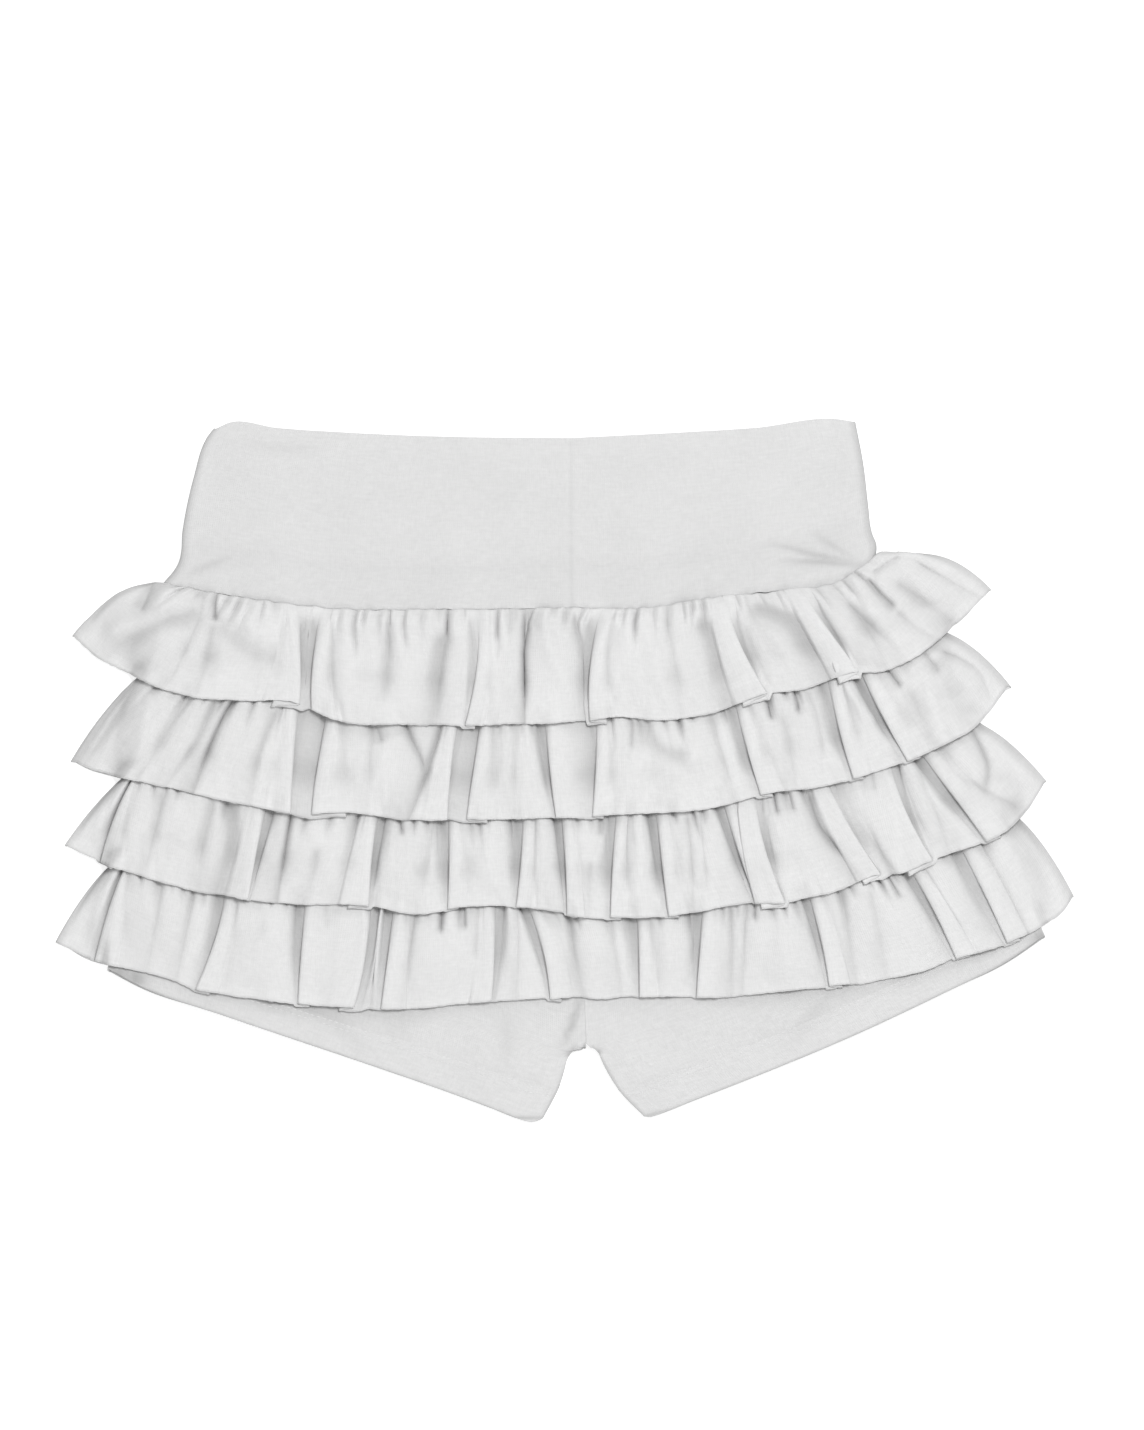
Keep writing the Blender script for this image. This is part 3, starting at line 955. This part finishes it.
materials = {name: jersey(name, look) for name, look in looks.items()}
print("materials made:", len(materials))


def newObject(name, bm):
    # an object with the bmesh as its mesh
    mesh = bpy.data.meshes.new(name)
    bm.to_mesh(mesh)
    bm.free()
    made = bpy.data.objects.new(name, mesh)
    bpy.context.scene.collection.objects.link(made)
    return made


def clothPiece(name, grid, down, wall, shade, closed=False):
    # a sheet on this grid of points, with its own map in metres, given a wall by Solidify
    rows, cols = grid.shape[:2]
    bm = bmesh.new()
    bmesh.ops.create_grid(bm, x_segments=cols - 1, y_segments=rows - 1, size=1.0)
    piece = newObject(name, bm)
    mesh = piece.data
    flat = np.empty(len(mesh.vertices) * 3)
    mesh.vertices.foreach_get("co", flat)
    flat = flat.reshape(-1, 3)
    col = np.rint((flat[:, 0] + 1) / 2 * (cols - 1)).astype(int)
    row = rows - 1 - np.rint((flat[:, 1] + 1) / 2 * (rows - 1)).astype(int)
    points = (grid[row, col] - layout["centre"]) * mm
    mesh.vertices.foreach_set("co", points.ravel())
    corner = np.empty(len(mesh.loops), dtype=np.int32)
    mesh.loops.foreach_get("vertex_index", corner)
    where = np.stack([lengthAlong(grid)[col[corner]], down[row[corner]]], axis=-1) * mm
    mesh.uv_layers.new(name="cloth").data.foreach_set("uv", where.ravel())
    fold = mesh.attributes.new("fold", "FLOAT", "POINT")
    fold.data.foreach_set("value", shade[row, col].astype(np.float32))
    if closed:
        bm = bmesh.new()
        bm.from_mesh(mesh)
        bmesh.ops.remove_doubles(bm, verts=[v for v in bm.verts if v.is_boundary], dist=0.01 * mm)
        bm.to_mesh(mesh)
        bm.free()
    mesh.shade_smooth()
    mesh.update()
    shell = piece.modifiers.new("wall", "SOLIDIFY")
    shell.thickness = wall * mm
    shell.offset = 0.0
    return piece


def stitches(name, lines, spec):
    # each line is a row of points; a stitch is a small lozenge of thread laid along it
    bm = bmesh.new()
    for line in lines:
        run = np.r_[0, np.cumsum(np.linalg.norm(np.diff(line, axis=0), axis=-1))]
        for place in np.arange(spec["pitch"], run[-1] - spec["pitch"], spec["pitch"]):
            ends = [np.array([np.interp(place + half, run, line[:, k]) for k in range(3)])
                    for half in (-spec["length"] / 2, spec["length"] / 2)]
            ends = [(e - layout["centre"]) * mm for e in ends]
            lie = Matrix.LocRotScale(
                Vector((ends[0] + ends[1]) / 2), Vector(ends[1] - ends[0]).to_track_quat("X", "Z"),
                Vector((spec["length"] / 2, spec["width"] / 2, spec["width"] / 2.6)) * mm)
            bmesh.ops.create_uvsphere(bm, u_segments=6, v_segments=4, radius=1.0,
                                      matrix=lie @ Matrix.Rotation(math.pi / 2, 4, "Y"))
    thread = newObject(name, bm)
    thread.data.shade_smooth()
    return thread


def rowAt(grid, rows, share):
    # the row of points at this share of a sheet's length
    columns = np.moveaxis(grid, 1, 0)
    return np.array([[np.interp(share, rows, line) for line in column.T] for column in columns])


# heights in mm between which a point counts as deep, and shades with how far they reach
shading = {
    "deep": (0.5, 4.0),
    "under": 0.2,  # under a free edge
    "underReach": {"ruffle": 4.0, "leg": 7.0},
    "turned": (0.4, 1.8),  # where the cloth turns down at the sides
    "open": (0.55, 0.55, 0.35),  # how much light comes in at the free edge, from which row, over how many
}


def hollow(grid, cover=None, reach=0.0):
    # how deep each point lies among the tops around it and how near under a covering edge, 0 to 1
    around = blur(blur(pile["top"], 4), 4)
    deep = np.clip((sampleAt(around, grid) - grid[..., 2] - shading["deep"][0]) / shading["deep"][1], 0, 1)
    if cover is None:
        return deep
    below = np.abs(curveThrough(grid[..., 0], *zip(*cover)) - grid[..., 1])
    return joined(deep, shading["under"] * bell(below, reach, 1.4))


def shadeRound(front, back, hidden, folds):
    # the same columns as tube() gives, a little darker where the cloth turns down at the sides
    fromSide = np.minimum(*[np.abs(front[..., 0] - front[:, [end], 0]) for end in (0, -1)])
    dark, reach = shading["turned"]
    shade = joined(hidden, folds, dark * bell(fromSide, reach))
    right, left = np.repeat(shade[:, -1:], 5, axis=1), np.repeat(shade[:, :1], 5, axis=1)
    return np.concatenate([shade, right, np.zeros(back.shape[:2]), left, shade[:, :1]], axis=1)


def finishPiece(piece, material, nodes):
    piece.data.materials.append(materials[material])
    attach(piece, "root")
    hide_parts(*nodes)


shade = shadeRound(waistFront, waistBack, waist["deep"] * hollow(waistFront), waistShade)
band = tube(waistFront, waistBack)
waistband = clothPiece("waistband", band, 90 * waistRows, waist["wall"], shade, closed=True)
rim = waistband.modifiers.new("softEdge", "BEVEL")
rim.width, rim.segments, rim.limit_method, rim.angle_limit = 0.5 * mm, 2, "ANGLE", 1.0
finishPiece(waistband, "waistJersey", [f"waistband_{p}_{h}" for p in places for h in halves])
print("waistband made")

light, fromRow, over = shading["open"]
openBelow = 1 - light * smooth((t - fromRow) / over)
for tier in (1, 2, 3, 4):
    front, back = ruffleFronts[tier], ruffleBacks[tier]
    cover = ruffleLines[tier - 1]["edge"] if tier > 1 else None
    hidden = openBelow * hollow(front, cover, shading["underReach"]["ruffle"])
    shade = shadeRound(front, back, hidden, ruffleShades[tier])
    ring = tube(front, back)
    piece = clothPiece(f"ruffle{tier}", ring, 60 * rowShares, ruffle["wall"], shade, closed=True)
    finishPiece(piece, "ruffleJersey", [f"ruffle_{tier}_front", f"ruffle_{tier}_back"])
    print("ruffle", tier, "made")

for half in halves:
    front, back = legGrids["front", half], legGrids["back", half]
    hidden = hollow(front, ruffleLines[4]["edge"], shading["underReach"]["leg"])
    shown, unseen = joined(hidden, legShades["front", half]), np.zeros((len(back), back.shape[1] + 5))
    if half == "left":
        around = np.concatenate([back[:, ::-1], foldRound(back[:, 0], front[:, 0], -1), front], axis=1)
        shade = np.c_[unseen, shown]
    else:
        around = np.concatenate([front, foldRound(front[:, -1], back[:, -1], 1), back[:, ::-1]], axis=1)
        shade = np.c_[shown, unseen]
    leg = clothPiece(f"leg{half.title()}", around, 260 * legRows, legs["wall"], shade)
    finishPiece(leg, "legJersey", [f"shorts_front_{half}", f"shorts_back_{half}"])
    out = np.array([0, 0, legs["wall"] / 2 + 0.02])
    sewn = [rowAt(grid, legRows, share) + side * out
            for share in legs["stitch"]["rows"] for grid, side in ((front, 1), (back, -1))]
    thread = stitches(f"hemStitches{half.title()}", sewn, legs["stitch"])
    finishPiece(thread, "hemThread", [])
    print("leg", half, "made")


# a lit pale table, as for a cut-out, under soft light from above, with a little from the left and the front
studio = {
    "table": {"size": 8.0, "below": 0.2, "grey": 0.55, "glow": 0.7},
    "sky": 0.44,
    "key": ((1.2, 1.9, 4.6), 1.8, 192.0),  # place, size and power of each softbox
    "fill": ((-2.4, -1.4, 4.2), 3.4, 16.0),
    "front": ((-0.4, -4.0, 1.5), 3.0, 55.0),
}
table = studio["table"]
bm = bmesh.new()
bmesh.ops.create_grid(bm, x_segments=1, y_segments=1, size=table["size"] / 2)
bmesh.ops.translate(bm, verts=bm.verts, vec=(0, 0, -table["below"] * mm))
floor = newObject("floor", bm)
floorPaint = bpy.data.materials.new("paleFloor")
floorPaint.use_nodes = True
give(floorPaint.node_tree.nodes["Principled BSDF"], {
    "Base Color": (*[table["grey"]] * 3, 1), "Roughness": 0.9, "Emission Color": (1, 1, 1, 1),
    "Emission Strength": table["glow"]})
floor.data.materials.append(floorPaint)
floor.visible_diffuse = False  # it doesn't throw light up on the cloth

world = bpy.data.worlds.new("studio")
world.use_nodes = True
give(world.node_tree.nodes["Background"], {"Color": (1, 1, 1, 1), "Strength": studio["sky"]})
bpy.context.scene.world = world


def softbox(name, place, size, power):
    lamp = bpy.data.lights.new(name, "AREA")
    lamp.shape, lamp.size, lamp.energy = "DISK", size, power
    box = bpy.data.objects.new(name, lamp)
    box.location = place
    box.rotation_mode = "QUATERNION"
    box.rotation_quaternion = (-Vector(place)).to_track_quat("-Z", "Y")
    box.visible_camera = False
    bpy.context.scene.collection.objects.link(box)


for name in ("key", "fill", "front"):
    softbox(name, *studio[name])

# straight down from far off, its frame this tall at the table
view = {"centre": (0.0038, 0.02886), "tall": 0.7579, "lens": 200.0, "sensor": 36.0}
lens = bpy.data.cameras.new("camera")
lens.lens, lens.sensor_width, lens.clip_end = view["lens"], view["sensor"], 50.0
camera = bpy.data.objects.new("camera", lens)
camera.location = (*view["centre"], view["tall"] * view["lens"] / view["sensor"])
bpy.context.scene.collection.objects.link(camera)
bpy.context.scene.camera = camera
bpy.context.scene.view_settings.view_transform = "Standard"
print("stage set")
